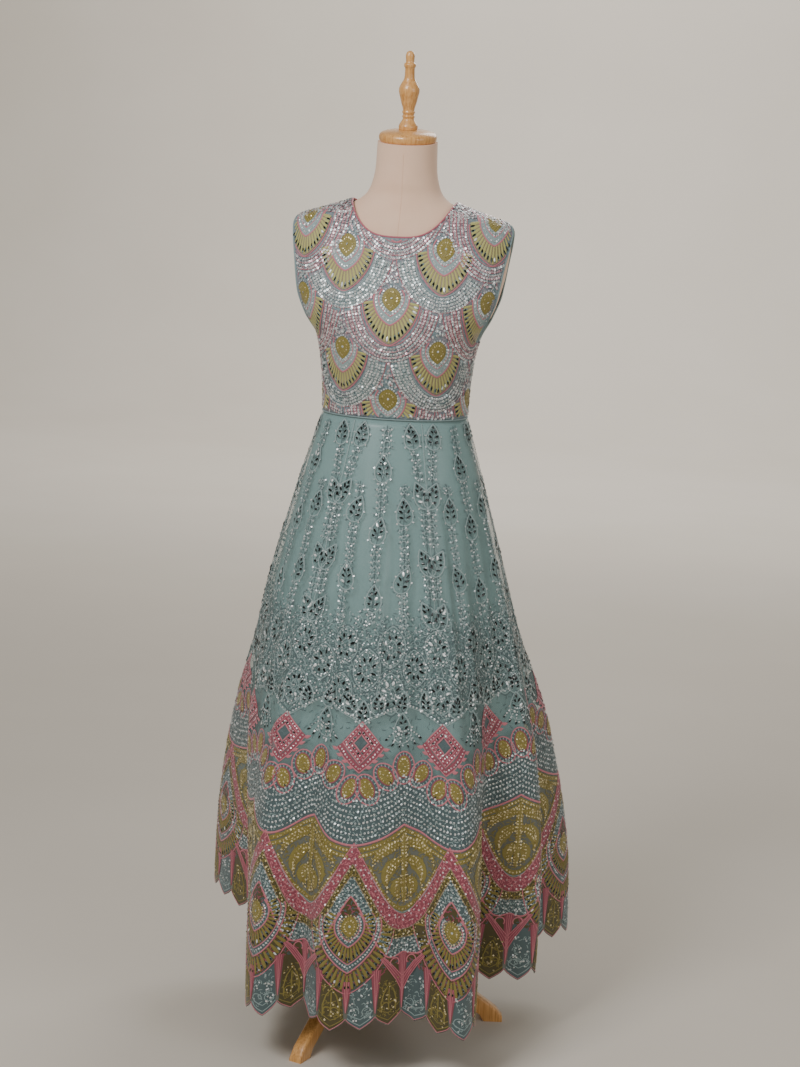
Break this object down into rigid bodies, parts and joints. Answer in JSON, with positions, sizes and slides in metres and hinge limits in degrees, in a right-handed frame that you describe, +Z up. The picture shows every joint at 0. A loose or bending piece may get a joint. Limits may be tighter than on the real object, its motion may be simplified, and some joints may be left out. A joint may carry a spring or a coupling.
{
  "type": "anarkali gown on a dress form stand",
  "caption": "Sleeveless floor-length anarkali gown with a fitted bodice and a flared panelled skirt with a petal hem, worn on a limbless dress form with a wooden tripod stand.",
  "frame": {"origin": "on the floor, under the middle of the part's outline seen from above", "axes": "+Z up; the gown's front faces -Y and the wearer's left side is at +X"},
  "size_m": [0.6902, 0.629, 1.774],
  "materials": {
    "net": "embroidered net",
    "bodice_cloth": "sequinned net over satin",
    "satin": "satin",
    "cover": "plain jersey",
    "beech": "varnished"
  },
  "bodies": {
    "root": {"bodice_front": "bodice_cloth", "bodice_back": "bodice_cloth", "kali_front": "net", "kali_left_front": "net", "kali_left_back": "net", "kali_back": "net", "kali_right_back": "net", "kali_right_front": "net", "skirt_lining": "satin", "form_torso": "cover", "neck_cap": "beech", "finial": "beech", "stand_pole": "beech", "stand_hub": "beech", "stand_leg_1": "beech", "stand_leg_2": "beech", "stand_leg_3": "beech"}
  },
  "joints": []
}
